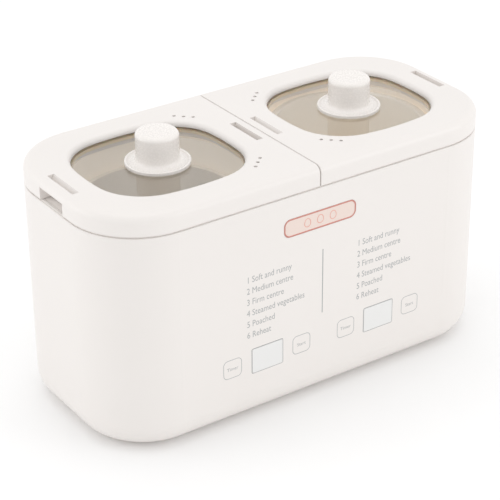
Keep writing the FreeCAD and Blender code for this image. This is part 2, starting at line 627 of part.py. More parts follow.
def build_lid_frame(name, side):
    """One lid's moulded frame: a hollow tray with a window ring, two grips and vent holes."""
    body = new_body(f"lid_frame_{name}")
    seam = f"{side} * seam_gap / 2"
    outer = f"{side} * shell_length / 2"
    sketch = sketch_on(body, "XY_Plane", LID_BOTTOM)
    rectangle(sketch, "shell_length / 2 - seam_gap / 2", "shell_depth", (f"({seam} + {outer}) / 2", "0"))
    add(body, sketch, "lid_height")
    far = value(outer)
    seam_x = value(seam)
    dress(body, "Fillet", lambda edge: upright(edge) and abs(edge.Vertexes[0].X - far) < NEAR,
          "corner_radius")
    top, bottom = value(LID_TOP), value(LID_BOTTOM)

    def on_seam(edge):
        return all(abs(vertex.X - seam_x) < NEAR for vertex in edge.Vertexes)
    dress(body, "Fillet", lambda edge: at_level(edge, top) and not on_seam(edge), "lid_rounding")
    dress(body, "Chamfer", lambda edge: at_level(edge, bottom) and not on_seam(edge), "edge_break")
    dress(body, "Fillet", lambda edge: on_seam(edge) and max(heights(edge)) > bottom + value("seam_rounding")
          and not at_level(edge, bottom), "seam_rounding")
    hollow_lid(body, side)
    cut_window(body, side, top)
    cut_grips(body, side)
    sketch = sketch_on(body, "XY_Plane", LID_TOP)
    for half in (-1, 1):
        for step in (-1, 0, 1):
            centre = (f"{side} * (vent_x + {step} * vent_step_x)",
                      f"{half} * (vent_y + {step} * vent_step_y)")
            circle(sketch, "vent_radius", centre)
    cut(body, sketch, "lid_skin + lid_wall")


def hollow_lid(body, side):
    """Empty the lid's underside, then stand the window ring and the grip blocks in it."""
    length = "shell_length / 2 - seam_gap / 2 - 2 * lid_wall"
    centre = f"{side} * (shell_length / 2 + seam_gap / 2) / 2"
    sketch = sketch_on(body, "XY_Plane", LID_BOTTOM)
    seam_corners = (1, 2) if side < 0 else (0, 3)
    rounded_rectangle(sketch, length, "shell_depth - 2 * lid_wall", "corner_radius - lid_wall",
                      (centre, "0"), sharp=seam_corners)
    cut(body, sketch, "lid_height - lid_skin", backwards=True)
    grow = "(window_ledge + fit_gap + ring_wall)"
    sketch = sketch_on(body, "XY_Plane", LID_BOTTOM)
    window_outline(sketch, side, grow)
    add(body, sketch, "lid_height - lid_skin / 2")
    for place_x in (f"{side} * (shell_length / 2 - (grip_block + lid_wall) / 2)",
                    f"{side} * (seam_gap / 2 + (grip_block + lid_wall) / 2)"):
        sketch = sketch_on(body, "XY_Plane", LID_BOTTOM)
        rectangle(sketch, "grip_block - lid_wall", "scoop_width + 2 * lid_wall", (place_x, "0"))
        add(body, sketch, "lid_height - lid_skin / 2")


def cut_window(body, side, top):
    """The glass's seat from below, the opening above it and the opening's soft edge."""
    seat = "(window_ledge + fit_gap)"
    sketch = sketch_on(body, "XY_Plane", LID_BOTTOM)
    window_outline(sketch, side, seat)
    cut(body, sketch, "lid_height - window_sink", backwards=True)
    sketch = sketch_on(body, "XY_Plane", LID_TOP)
    window_outline(sketch, side, "0")
    cut(body, sketch, "window_sink + cut_overrun")
    middle = value(f"{side} * bowl_spread")
    reach = value("window_half_length + cut_overrun")

    def wanted(edge):
        box = edge.BoundBox
        return at_level(edge, top) and box.XMin > middle - reach and box.XMax < middle + reach
    dress(body, "Fillet", wanted, "window_edge")


def cut_grips(body, side):
    """A sloping scoop behind a strap at both ends, and the finger notch under the outer strap."""
    ends = (("shell_length / 2 - outer_strap", "-1"), ("seam_gap / 2 + seam_strap", "1"))
    for strap, inward in ends:
        edge = f"{side} * ({strap})"
        run = f"{side} * ({strap} + {inward} * scoop_run)"
        above = f"{LID_TOP} + cut_overrun"
        sketch = sketch_on(body, "XZ_Plane", "scoop_width / 2")
        polygon(sketch, [(edge, above), (edge, f"{LID_TOP} - scoop_depth"), (run, LID_TOP), (run, above)])
        cut(body, sketch, "scoop_width")
    sketch = sketch_on(body, "XY_Plane", LID_BOTTOM)
    centre = f"{side} * (shell_length / 2 - outer_strap / 2)"
    rectangle(sketch, "outer_strap + 2 * cut_overrun", "notch_width", (centre, "0"))
    cut(body, sketch, "notch_height", backwards=True)


def build_lid(name, side):
    """Everything that lifts off with one lid."""
    build_lid_frame(name, side)
    axis = f"{side} * bowl_spread"

    glass = new_body(f"lid_window_{name}")
    sketch = sketch_on(glass, "XY_Plane", GLASS_BOTTOM)
    window_outline(sketch, side, "window_ledge")
    add(glass, sketch, "glass_thickness")
    sketch = sketch_on(glass, "XY_Plane", GLASS_TOP)
    circle(sketch, "knob_bore", (axis, "0"))
    cut(glass, sketch, "glass_thickness")

    gasket = new_body(f"window_gasket_{name}")
    sketch = sketch_on(gasket, "XY_Plane", f"{GLASS_BOTTOM} - gasket_height")
    window_outline(sketch, side, "window_ledge")
    add(gasket, sketch, "gasket_height")
    sketch = sketch_on(gasket, "XY_Plane", GLASS_BOTTOM)
    window_outline(sketch, side, "(-gasket_inset)")
    cut(gasket, sketch, "gasket_height")

    build_knob(name, axis)


def build_knob(name, axis):
    """The lid's knob with its dished flange, and the washer and screw that hold it."""
    knob_top = f"{GLASS_TOP} + knob_height"
    rim = f"{GLASS_TOP} + knob_rim_height"
    dish = f"{GLASS_TOP} + knob_dish_height"
    bore_end = f"{GLASS_TOP} + knob_bore_depth"
    knob = new_body(f"knob_{name}")
    revolve(knob, [
        ("knob_bore", GLASS_TOP), ("knob_flange", GLASS_TOP), ("knob_flange", rim),
        ("knob_flange - knob_rim_width", rim), ("knob_flange - 2 * knob_rim_width", dish),
        ("knob_radius", dish), ("knob_radius", knob_top), ("0", knob_top), ("0", bore_end),
        ("knob_bore", bore_end)], axis)
    dress(knob, "Fillet", lambda edge: at_level(edge, value(knob_top)), "knob_rounding")
    radius = value("knob_radius")
    dress(knob, "Fillet", lambda edge: at_level(edge, value(dish))
          and abs(edge.BoundBox.YMax - radius) < SIZE_MATCH, "knob_fillet")
    dress(knob, "Fillet", lambda edge: at_level(edge, value(rim)), "knob_rim_rounding")

    washer_under = f"{GLASS_BOTTOM} - washer_thickness"
    revolve(new_body(f"knob_washer_{name}"), [
        ("knob_bore", washer_under), ("washer_radius", washer_under),
        ("washer_radius", GLASS_BOTTOM), ("knob_bore", GLASS_BOTTOM)], axis)
    screws(f"knob_screw_{name}", [(axis, "0")], washer_under, f"{bore_end} - ({washer_under}) - loose_gap",
           ("knob_screw_head", "knob_screw_head_height"), "knob_screw_radius", points_up=True)


def across_front(label, offset, length, outlines, backwards=False):
    """Pieces padded square to the front: each outline draws itself on its own sketch."""
    body = new_body(label)
    for outline in outlines:
        sketch = sketch_on(body, "XZ_Plane", offset)
        outline(sketch)
        add(body, sketch, length, backwards)
    return body


def build_panel():
    """Displays, lenses, touch pads and badge at the front, and the board that carries them."""
    for name, side in SIDES.items():
        centre = (f"panel_shift + {side} * panel_spread", "panel_level")
        across_front(f"display_{name}", BOARD_FRONT, "board_standoff - fit_gap", [
            lambda sketch: rectangle(sketch, "lens_width - 2 * fit_gap",
                                     "lens_height - 2 * fit_gap", centre)])
        lens = across_front(f"display_lens_{name}", FRONT_INSIDE, "shell_wall + lens_proud", [
            lambda sketch: rectangle(sketch, "lens_width", "lens_height", centre)])
        dress(lens, "Fillet", along_y, "lens_corner")
    across_front("touch_pads", BOARD_FRONT, "board_standoff - fit_gap", [
        lambda sketch: circles(sketch, "pad_radius", key_centres())])
    badge = across_front("front_badge", "shell_depth / 2 - badge_thickness", "badge_thickness", [
        lambda sketch: rectangle(sketch, "badge_width", "badge_height", ("0", BADGE_LEVEL))])
    dress(badge, "Fillet", along_y, "badge_corner")

    board = across_front("control_board", BOARD_FRONT, "board_thickness", [
        lambda sketch: rectangle(sketch, "board_width", "board_height", ("0", "panel_level"))], True)
    sketch = sketch_on(board, "XZ_Plane", BOARD_FRONT)
    circles(sketch, "small_screw_radius + fit_gap", board_posts())
    cut(board, sketch, "board_thickness")
    heads = across_front("control_board_screws", BOARD_BACK, "small_head_height", [
        lambda sketch: circles(sketch, "small_head_radius", board_posts())], True)
    sketch = sketch_on(heads, "XZ_Plane", BOARD_BACK)
    circles(sketch, "small_screw_radius", board_posts())
    add(heads, sketch, "small_screw_length")
    across_front("buzzer", BOARD_BACK, "buzzer_height", [
        lambda sketch: circle(sketch, "buzzer_radius", ("0", "panel_level"))], True)


def build_power_parts():
    """The mains side: board on the cover's posts, relays, supply module, inlet and its pins."""
    board = block("power_board", "power_width", "power_depth", "power_level", POWER_TOP, [("0", "0")])
    posts = corner_pairs("power_post_x", "power_post_y")
    sketch = sketch_on(board, "XY_Plane", "power_level")
    circles(sketch, "small_screw_radius + fit_gap", posts)
    cut(board, sketch, "board_thickness", backwards=True)
    screws("power_board_screws", posts, POWER_TOP, "small_screw_length",
           ("small_head_radius", "small_head_height"), "small_screw_radius", points_up=False)
    block("relays", "relay_width", "relay_depth", POWER_TOP, f"{POWER_TOP} + relay_height",
          [("-relay_x", "relay_y"), ("relay_x", "relay_y")])
    block("power_module", "module_width", "module_depth", POWER_TOP, f"{POWER_TOP} + module_height",
          [("0", "module_y")])

    level = ("0", "inlet_level")
    inlet = across_front("power_inlet", f"-{PANEL_FACE}", "inlet_depth", [
        lambda sketch: rectangle(sketch, "inlet_width", "inlet_height", level)])
    sketch = sketch_on(inlet, "XZ_Plane", f"-({FRONT_INSIDE} - thread_gap)")
    rectangle(sketch, "inlet_width + 2 * inlet_flange", "inlet_height + 2 * inlet_flange", level)
    add(inlet, sketch, "inlet_flange_thickness")
    sketch = sketch_on(inlet, "XZ_Plane", f"-{PANEL_FACE}")
    rectangle(sketch, "socket_width", "socket_height", level)
    cut(inlet, sketch, "socket_depth", backwards=True)
    half = value("socket_width / 2")
    dress(inlet, "Fillet", lambda edge: along_y(edge) and abs(abs(edge.Vertexes[0].X) - half) < NEAR,
          "socket_corner")
    centres = [("-pin_spacing", "inlet_level - pin_rise"), ("pin_spacing", "inlet_level - pin_rise"),
               ("0", "inlet_level + pin_rise")]
    sketch = sketch_on(inlet, "XZ_Plane", f"-({PANEL_FACE} - socket_depth)")
    circles(sketch, "pin_radius + thread_gap", centres)
    cut(inlet, sketch, "inlet_depth", backwards=True)
    across_front("inlet_pins", f"-({PANEL_FACE} - socket_depth + pin_proud)", "pin_length", [
        lambda sketch: circles(sketch, "pin_radius", centres)])


def check_and_export():
    """Refuse any failed object or broken solid, then write one STEP file for each node."""
    doc.recompute()
    report_failures()
    for item in doc.Objects:
        if "Invalid" in item.State or "Error" in item.State:
            raise RuntimeError(f"{item.Label} failed: {item.State}")
    os.makedirs("parts", exist_ok=True)
    for node in nodes:
        if node.Shape.isNull() or not node.Shape.isValid():
            raise RuntimeError(f"{node.Label} has no valid shape")
        node.Shape.exportStep(os.path.join("parts", f"{node.Label}.step"))
        print(f"{node.Label}: {len(node.Shape.Solids)} solids, {node.Shape.Volume:.0f} mm3")


fill_sheet()
build_shell()
build_cover()
disc("rubber_feet", "foot_radius", "0", "foot_height", corner_pairs("foot_x", "foot_y"))
screws("base_screws", corner_pairs("cover_post_x", "cover_post_y"),
       "foot_proud + screw_head_height + thread_gap", "screw_length",
       ("screw_head_radius", "screw_head_height"), "screw_radius", points_up=True)
build_deck()
screws("deck_screws", corner_pairs("post_x", "post_y"), f"{DECK_TOP} - screw_head_height - thread_gap",
       "screw_length - cover_thickness", ("screw_head_radius", "screw_head_height"), "screw_radius",
       points_up=False)
for side_name, side_sign in SIDES.items():
    build_well(side_name, side_sign)
build_panel()
build_power_parts()
build_pots()
for side_name, side_sign in SIDES.items():
    build_lid(side_name, side_sign)
check_and_export()
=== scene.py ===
# %% [markdown]
# # Twin egg cooker
# The cooker is a cream plastic casing with two wells. A steel pot sits in the left well and a
# ceramic pot in the right one, each under its own lid with a glass window and a pinch knob.
# The CAD frame already holds every working part at its true size, so this file is about looks:
# one finish for each real material, and the thin printed and inlaid marks that CAD leaves out.

# %% Load the CAD frame
import bmesh
import bpy
import math
from mathutils import Matrix, Quaternion, Vector


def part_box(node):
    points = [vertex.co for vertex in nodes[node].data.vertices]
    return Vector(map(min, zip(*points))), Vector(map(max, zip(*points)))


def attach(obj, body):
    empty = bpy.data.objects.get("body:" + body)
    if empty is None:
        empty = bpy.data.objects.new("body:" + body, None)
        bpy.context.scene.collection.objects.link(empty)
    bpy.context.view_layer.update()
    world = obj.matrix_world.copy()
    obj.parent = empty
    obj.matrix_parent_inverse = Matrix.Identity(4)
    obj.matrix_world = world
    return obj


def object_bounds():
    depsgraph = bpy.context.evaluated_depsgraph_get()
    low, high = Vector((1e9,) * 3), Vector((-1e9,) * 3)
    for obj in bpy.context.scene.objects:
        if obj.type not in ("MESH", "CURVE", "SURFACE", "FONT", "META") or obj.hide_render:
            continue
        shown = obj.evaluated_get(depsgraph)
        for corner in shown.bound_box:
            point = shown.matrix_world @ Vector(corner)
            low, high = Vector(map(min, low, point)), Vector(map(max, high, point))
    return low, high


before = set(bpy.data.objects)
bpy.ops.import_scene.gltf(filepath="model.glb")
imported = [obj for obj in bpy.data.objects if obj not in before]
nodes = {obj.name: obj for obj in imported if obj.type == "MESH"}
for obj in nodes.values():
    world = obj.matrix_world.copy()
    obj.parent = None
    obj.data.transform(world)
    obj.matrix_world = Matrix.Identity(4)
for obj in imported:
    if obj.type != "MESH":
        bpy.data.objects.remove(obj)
cad_low, cad_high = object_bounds()
MM = 0.001
SIDES = ("left", "right")
print(f"{len(nodes)} CAD nodes, {[round(v / MM, 1) for v in cad_high - cad_low]} mm over all")

# %% [markdown]
# ## Shading of the CAD parts
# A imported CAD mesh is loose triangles, which would show every facet. These meshes bring their
# own normals, so rounded corners already shade as curves and creases stay crisp. Welding or
# splitting them would only disturb that, so this cell counts them and changes nothing.

# %% Count the CAD normals
print("custom normals on", sum(part.data.has_custom_normals for part in nodes.values()), "nodes")

# %% [markdown]
# ## Wiring nodes in code
# A material is a small circuit. These helpers add a node and feed its inputs, either with a
# number or with another node's output, so that each finish below reads as a short list. A Mix
# node keeps a set of sockets for each data type, so its colour sockets are picked by place.

# %% Node helpers
COLOUR = "NodeSocketColor"
NUMBER = "NodeSocketFloat"
POINT = "NodeSocketVector"
MIX_INPUTS = (0, 6, 7)
MIX_RESULT = 2


def feed(tree, socket, value):
    """Link the value if it is a socket, and set it if it is a number or a colour."""
    if isinstance(value, bpy.types.NodeSocket):
        tree.links.new(value, socket)
    else:
        socket.default_value = value


def add_node(tree, kind, settings=None, **inputs):
    """A new node with its settings and its named inputs filled in."""
    made = tree.nodes.new(kind)
    for name, value in (settings or {}).items():
        setattr(made, name, value)
    for name, value in inputs.items():
        feed(tree, made.inputs[name], value)
    return made


def arithmetic(tree, operation, *values):
    """One Math node on up to three values."""
    made = tree.nodes.new("ShaderNodeMath")
    made.operation = operation
    for socket, value in zip(made.inputs, values):
        feed(tree, socket, value)
    return made.outputs[0]


def mix_colours(tree, share, first, second):
    """A blend of two colours by a share from 0 to 1."""
    made = tree.nodes.new("ShaderNodeMix")
    made.data_type = "RGBA"
    for index, value in zip(MIX_INPUTS, (share, first, second)):
        feed(tree, made.inputs[index], value)
    return made.outputs[MIX_RESULT]


def new_group(name, inputs, outputs):
    """An empty effect: a node group with named sockets, and its two end nodes' sockets."""
    tree = bpy.data.node_groups.new(name, "ShaderNodeTree")
    for label, kind, default in inputs:
        socket = tree.interface.new_socket(label, in_out="INPUT", socket_type=kind)
        socket.default_value = default
    for label, kind in outputs:
        tree.interface.new_socket(label, in_out="OUTPUT", socket_type=kind)
    start = tree.nodes.new("NodeGroupInput")
    end = tree.nodes.new("NodeGroupOutput")
    return tree, start.outputs, end.inputs


print("node helpers ready")

# %% [markdown]
# ## Effect: moulded skin
# Injection-moulded plastic looks plain from afar. Close up it has a fine spark-eroded grain,
# and its tone drifts a little where the melt cooled at different speeds. One group makes both
# for every plastic and rubber here, and each finish sets its own grain size and strength.

# %% Build the moulded skin group
skin, given, result = new_group("moulded_skin", [
    ("Base", COLOUR, (1, 1, 1, 1)), ("Tint", COLOUR, (1, 1, 1, 1)), ("Drift", NUMBER, 14.0),
    ("Grain", NUMBER, 1800.0), ("Roughness", NUMBER, 0.4), ("Spread", NUMBER, 0.12)],
    [("Color", COLOUR), ("Roughness", NUMBER), ("Height", NUMBER)])
place = add_node(skin, "ShaderNodeTexCoord").outputs["Object"]
cloud = add_node(skin, "ShaderNodeTexNoise", Vector=place, Scale=given["Drift"], Detail=2.0)
grain = add_node(skin, "ShaderNodeTexNoise", Vector=place, Scale=given["Grain"], Detail=3.0)
feed(skin, result["Color"], mix_colours(skin, cloud.outputs[0], given["Base"], given["Tint"]))
middle = arithmetic(skin, "SUBTRACT", grain.outputs[0], 0.5)
feed(skin, result["Roughness"], arithmetic(skin, "MULTIPLY_ADD", middle, given["Spread"], given["Roughness"]))
feed(skin, result["Height"], grain.outputs[0])
print("moulded_skin has", len(skin.nodes), "nodes")

# %% [markdown]
# ## Effect: spun lines
# The steel pot, the heating plates and the screw heads are turned on a lathe or spun over a
# form, which leaves fine rings round the axis. Distance from the axis plus height gives one
# number that grows across a floor and up a wall alike, and a 1D noise on it draws the rings.

# %% Build the spun lines group
spun, given, result = new_group("spun_lines", [
    ("Centre", POINT, (0, 0, 0)), ("Lines", NUMBER, 1600.0),
    ("Roughness", NUMBER, 0.3), ("Spread", NUMBER, 0.2)],
    [("Roughness", NUMBER), ("Height", NUMBER)])
place = add_node(spun, "ShaderNodeTexCoord").outputs["Object"]
offset = add_node(spun, "ShaderNodeVectorMath", {"operation": "SUBTRACT"})
feed(spun, offset.inputs[0], place)
feed(spun, offset.inputs[1], given["Centre"])
flat = add_node(spun, "ShaderNodeVectorMath", {"operation": "MULTIPLY"})
feed(spun, flat.inputs[0], offset.outputs[0])
feed(spun, flat.inputs[1], (1, 1, 0))
radius = add_node(spun, "ShaderNodeVectorMath", {"operation": "LENGTH"})
feed(spun, radius.inputs[0], flat.outputs[0])
level = add_node(spun, "ShaderNodeSeparateXYZ", Vector=offset.outputs[0]).outputs["Z"]
along = arithmetic(spun, "ADD", radius.outputs["Value"], level)
rows = arithmetic(spun, "MULTIPLY", along, given["Lines"])
rings = add_node(spun, "ShaderNodeTexNoise", {"noise_dimensions": "1D"}, W=rows, Detail=4.0)
middle = arithmetic(spun, "SUBTRACT", rings.outputs[0], 0.5)
feed(spun, result["Roughness"], arithmetic(spun, "MULTIPLY_ADD", middle, given["Spread"], given["Roughness"]))
feed(spun, result["Height"], rings.outputs[0])
print("spun_lines has", len(spun.nodes), "nodes")

# %% [markdown]
# ## Plastics and rubber
# The casing and lids are one satin cream, the knobs the same cream with a softer gloss, and
# the wells a shade deeper. All come from one function, with the skin group feeding colour,
# roughness and a very shallow bump. Plain numbers, such as coat, sit on the shader itself.
# The real casing is thin and pale, so some of the room's light soaks through it into the bowls.
# Ray tracing that would need volume scattering, so a painted glow, a weak warm emission on the
# well walls, the window seals and the two pots, stands for it.

# %% Plastic and rubber finishes
def new_material(name, settings):
    """A material whose shader has the given constant settings."""
    material = bpy.data.materials.new(name)
    material.use_nodes = True
    tree = material.node_tree
    shader = next(item for item in tree.nodes if item.type == "BSDF_PRINCIPLED")
    for label, value in settings.items():
        shader.inputs[label].default_value = value
    return material, tree, shader


def painted_glow(colour, strength):
    """Settings for a painted glow: a weak emission that stands for light come through a thin wall."""
    return {"Emission Color": (*colour, 1), "Emission Strength": strength}


def add_bump(tree, shader, height, distance, strength=0.5):
    """Turn a height into a bump of a real depth in metres."""
    bump = add_node(tree, "ShaderNodeBump", Height=height, Distance=distance, Strength=strength)
    feed(tree, shader.inputs["Normal"], bump.outputs[0])


def moulded(name, base, tint, roughness, grain=1800.0, depth=0.02 * MM, settings=None):
    """A moulded plastic or rubber: a base colour that drifts to a tint, and a fine grain."""
    material, tree, shader = new_material(name, settings or {})
    effect = add_node(tree, "ShaderNodeGroup", {"node_tree": skin})
    values = {"Base": (*base, 1), "Tint": (*tint, 1), "Grain": grain, "Roughness": roughness}
    for label, value in values.items():
        effect.inputs[label].default_value = value
    feed(tree, shader.inputs["Base Color"], effect.outputs["Color"])
    feed(tree, shader.inputs["Roughness"], effect.outputs["Roughness"])
    add_bump(tree, shader, effect.outputs["Height"], depth)
    return material


cream_shell = moulded("cream_shell", (0.795, 0.762, 0.737), (0.785, 0.750, 0.722), 0.38)
cream_knob = moulded("cream_knob", (0.82, 0.785, 0.755), (0.81, 0.772, 0.738), 0.27, 1200.0, 0.01 * MM,
                     settings={"Coat Weight": 0.25, "Coat Roughness": 0.2})
cream_well = moulded("cream_well", (0.89, 0.85, 0.79), (0.88, 0.838, 0.775), 0.32,
                     settings=painted_glow((1.0, 0.82, 0.60), 0.15))
cream_cover = moulded("cream_cover", (0.84, 0.80, 0.765), (0.82, 0.78, 0.74), 0.55, 900.0, 0.06 * MM)
foot_rubber = moulded("foot_rubber", (0.60, 0.58, 0.55), (0.55, 0.53, 0.50), 0.75, 700.0, 0.06 * MM)
seal_silicone = moulded("seal_silicone", (0.83, 0.70, 0.46), (0.80, 0.66, 0.42), 0.35, 600.0, 0.02 * MM,
                        settings={"Subsurface Weight": 0.2, "Subsurface Scale": 0.002,
                                  **painted_glow((1.0, 0.72, 0.38), 0.03)})
board_green = moulded("board_green", (0.03, 0.16, 0.07), (0.02, 0.12, 0.05), 0.35, 500.0, 0.03 * MM)
part_black = moulded("part_black", (0.035, 0.035, 0.038), (0.025, 0.025, 0.028), 0.45, 1400.0, 0.04 * MM)
pad_grey = moulded("pad_grey", (0.45, 0.45, 0.44), (0.42, 0.42, 0.41), 0.6)
fuse_white = moulded("fuse_white", (0.78, 0.76, 0.72), (0.72, 0.70, 0.66), 0.7, 900.0, 0.05 * MM)
lens_grey = moulded("lens_grey", (0.765, 0.762, 0.752), (0.757, 0.755, 0.746), 0.2, 900.0, 0.004 * MM,
                    settings={"Coat Weight": 0.5, "Coat Roughness": 0.08})
badge_peach = moulded("badge_peach", (0.77, 0.645, 0.585), (0.76, 0.63, 0.57), 0.22, 700.0, 0.006 * MM,
                      settings={"Coat Weight": 0.6, "Coat Roughness": 0.1})
print("plastics ready")

# %% [markdown]
# ## Metals, glaze and glass
# The pot and plates use the spun lines. The ceramic pot has a glossy glaze with faint pinholes
# and the slow waves of a dipped coat. The windows are plain clear glass with a trace of warm
# colour, so the bright room mirrors in them and veils the bowls a little.

# %% Metal, ceramic and glass finishes
def spun_metal(name, colour, roughness, centre, lines, depth, glow=None):
    """Bare metal with rings round an upright axis through the centre."""
    settings = {"Metallic": 1.0, "Base Color": (*colour, 1), **(glow or {})}
    material, tree, shader = new_material(name, settings)
    effect = add_node(tree, "ShaderNodeGroup", {"node_tree": spun})
    values = {"Centre": centre, "Lines": lines, "Roughness": roughness}
    for label, value in values.items():
        effect.inputs[label].default_value = value
    feed(tree, shader.inputs["Roughness"], effect.outputs["Roughness"])
    add_bump(tree, shader, effect.outputs["Height"], depth)
    return material


def centre_of(node):
    low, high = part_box(node)
    return (low + high) / 2


WAVE_SCALE = 60.0
WAVE_DEPTH = 0.08 * MM
PINHOLE_SCALE = 420.0
PINHOLE_SIZE = 0.09
PINHOLE_SHADE = 0.9


def glazed(name, colour, tint):
    """A dipped glaze: slow waves, faint pinholes and a glassy coat."""
    # The glaze's emission is a painted glow for light soaked into the bowl.
    material, tree, shader = new_material(name, {
        "Coat Weight": 0.8, "Coat Roughness": 0.04, "Roughness": 0.25,
        **painted_glow((1.0, 0.84, 0.62), 0.09)})
    place = add_node(tree, "ShaderNodeTexCoord").outputs["Object"]
    waves = add_node(tree, "ShaderNodeTexNoise", Vector=place, Scale=WAVE_SCALE, Detail=2.0)
    cells = add_node(tree, "ShaderNodeTexVoronoi", Vector=place, Scale=PINHOLE_SCALE)
    pinhole = arithmetic(tree, "LESS_THAN", cells.outputs["Distance"], PINHOLE_SIZE)
    body = mix_colours(tree, waves.outputs[0], (*colour, 1), (*tint, 1))
    dark = [channel * PINHOLE_SHADE for channel in tint]
    feed(tree, shader.inputs["Base Color"], mix_colours(tree, pinhole, body, (*dark, 1)))
    add_bump(tree, shader, waves.outputs[0], WAVE_DEPTH)
    return material


RIPPLE_SCALE = 18.0
RIPPLE_DEPTH = 0.05 * MM


def clear_glass(name, tint):
    """Tempered glass with the faint ripple of the furnace rollers."""
    material, tree, shader = new_material(name, {
        "Base Color": (*tint, 1), "Transmission Weight": 1.0, "Roughness": 0.0, "IOR": 1.47})
    place = add_node(tree, "ShaderNodeTexCoord").outputs["Object"]
    ripple = add_node(tree, "ShaderNodeTexNoise", Vector=place, Scale=RIPPLE_SCALE, Detail=1.0)
    add_bump(tree, shader, ripple.outputs[0], RIPPLE_DEPTH, 0.3)
    return material


# The steel pot's emission is a painted glow for light soaked into the well.
pot_steel = spun_metal("pot_steel", (0.80, 0.775, 0.74), 0.32, centre_of("steel_pot"), 1500.0, 0.02 * MM,
                       painted_glow((1.0, 0.90, 0.76), 0.06))
screw_zinc = spun_metal("screw_zinc", (0.62, 0.62, 0.64), 0.28, (0, 0, 0), 900.0, 0.01 * MM)
ring_steel = spun_metal("ring_steel", (0.30, 0.28, 0.26), 0.42, (0, 0, 0), 500.0, 0.02 * MM)
pin_brass = spun_metal("pin_brass", (0.80, 0.62, 0.32), 0.2, (0, 0, 0), 700.0, 0.005 * MM)
plate_metal = {side: spun_metal(f"plate_{side}", (0.66, 0.66, 0.67), 0.34, centre_of(f"heating_plate_{side}"),
                                700.0, 0.05 * MM) for side in SIDES}
pot_ceramic = glazed("pot_ceramic", (0.87, 0.83, 0.765), (0.86, 0.818, 0.75))
window_glass = clear_glass("window_glass", (1.0, 0.998, 0.992))
print("metals, glaze and glass ready")

# %% [markdown]
# ## Give each CAD node its finish
# One list says which real material each part is made of. A node's mesh stays as the CAD made
# it, and only its material slot changes.

# %% Dress the CAD nodes
def both(*stems):
    return [f"{stem}_{side}" for stem in stems for side in SIDES]


FINISHES = [
    (cream_shell, ["outer_shell", "top_deck"] + both("lid_frame")),
    (cream_knob, both("knob")),
    (cream_well, both("well")),
    (cream_cover, ["base_cover"]),
    (foot_rubber, ["rubber_feet"]),
    (seal_silicone, both("window_gasket", "plate_seal")),
    (window_glass, both("lid_window")),
    (screw_zinc, ["base_screws", "deck_screws", "control_board_screws", "power_board_screws"]
     + both("knob_screw", "knob_washer", "heat_shield")),
    (plate_metal["left"], ["heating_plate_left"]),
    (plate_metal["right"], ["heating_plate_right"]),
    (ring_steel, both("heater_ring", "thermal_sensor")),
    (fuse_white, both("thermal_fuse")),
    (lens_grey, both("display_lens")),
    (part_black, ["buzzer", "relays", "power_module", "power_inlet"] + both("display")),
    (pad_grey, ["touch_pads"]),
    (badge_peach, ["front_badge"]),
    (board_green, ["control_board", "power_board"]),
    (pin_brass, ["inlet_pins"]),
    (pot_steel, ["steel_pot"]),
    (pot_ceramic, ["ceramic_pot"]),
]
dressed = set()
for finish, names in FINISHES:
    for name in names:
        nodes[name].data.materials.clear()
        nodes[name].data.materials.append(finish)
        dressed.add(name)
print("nodes still bare:", sorted(set(nodes) - dressed))

# %% [markdown]
# ## Inks and inlays
# The panel's marks are pad-printed in grey ink, a few hundredths of a millimetre thick. Ink is
# matt and slightly uneven. The badge's rim is a thin rose metal band let into the casing.

# %% Ink and rim finishes
ink_grey = moulded("ink_grey", (0.36, 0.37, 0.37), (0.42, 0.43, 0.43), 0.6, 2500.0, 0.005 * MM)
rose_ink = moulded("rose_ink", (0.70, 0.30, 0.24), (0.74, 0.36, 0.29), 0.5, 2500.0, 0.005 * MM)
rose_metal = spun_metal("rose_metal", (0.60, 0.28, 0.24), 0.3, centre_of("front_badge"), 900.0, 0.01 * MM)
# Near-black painted shade for the screws' cross recesses, where the shadow in each hole falls.
painted_recess_shade = moulded("painted_recess_shade", (0.05, 0.05, 0.05), (0.08, 0.08, 0.08), 0.5)
print("inks ready")

# %% [markdown]
# ## Making a thin mark
# Each mark starts flat, as a plane whose corners are rounded with a vertex bevel. An inset
# leaves a line of ink where the middle is taken away, and Solidify gives the ink its body. The
# flat shape is drawn with X across and Y up, then stood up against the front of the casing.

# %% Helpers for thin marks
INK = 0.04 * MM
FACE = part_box("outer_shell")[0].y
MERGE = 1e-7
STAND_UP = Matrix.Rotation(math.radians(90), 4, "X")


def rounded_plate(width, height, radius, segments=8):
    """A flat rounded rectangle about the origin."""
    mark = bmesh.new()
    bmesh.ops.create_grid(mark, x_segments=1, y_segments=1, size=0.5)
    bmesh.ops.scale(mark, vec=(width, height, 1), verts=mark.verts)
    if radius:
        bmesh.ops.bevel(mark, geom=mark.verts[:], affect="VERTICES", offset=radius,
                        segments=segments, profile=0.5, material=-1)
    return mark


def hollow_out(mark, line):
    """Keep only a line of the given width along the edge of a flat shape."""
    rim = bmesh.ops.inset_region(mark, faces=mark.faces[:], thickness=line,
                                  use_boundary=True, use_even_offset=True)["faces"]
    middle = [face for face in mark.faces if face not in set(rim)]
    bmesh.ops.delete(mark, geom=middle, context="FACES_ONLY")


def thicken(mark, depth):
    """Give a flat shape a body, with its front at the given depth and its back just below zero."""
    bmesh.ops.solidify(mark, geom=mark.faces[:], thickness=depth)
    lowest = min(vertex.co.z for vertex in mark.verts)
    bmesh.ops.translate(mark, vec=(0, 0, -lowest - INK / 4), verts=mark.verts)
    bmesh.ops.recalc_face_normals(mark, faces=mark.faces[:])


def stand_at(mark, across, up):
    """Stand a flat shape up against the front, with its centre at the given place."""
    matrix = Matrix.Translation((across, FACE, up)) @ STAND_UP
    bmesh.ops.transform(mark, matrix=matrix, verts=mark.verts)


def gather(marks):
    """Join several small meshes into one."""
    whole = bmesh.new()
    for mark in marks:
        carrier = bpy.data.meshes.new("carrier")
        mark.to_mesh(carrier)
        mark.free()
        whole.from_mesh(carrier)
        bpy.data.meshes.remove(carrier)
    return whole


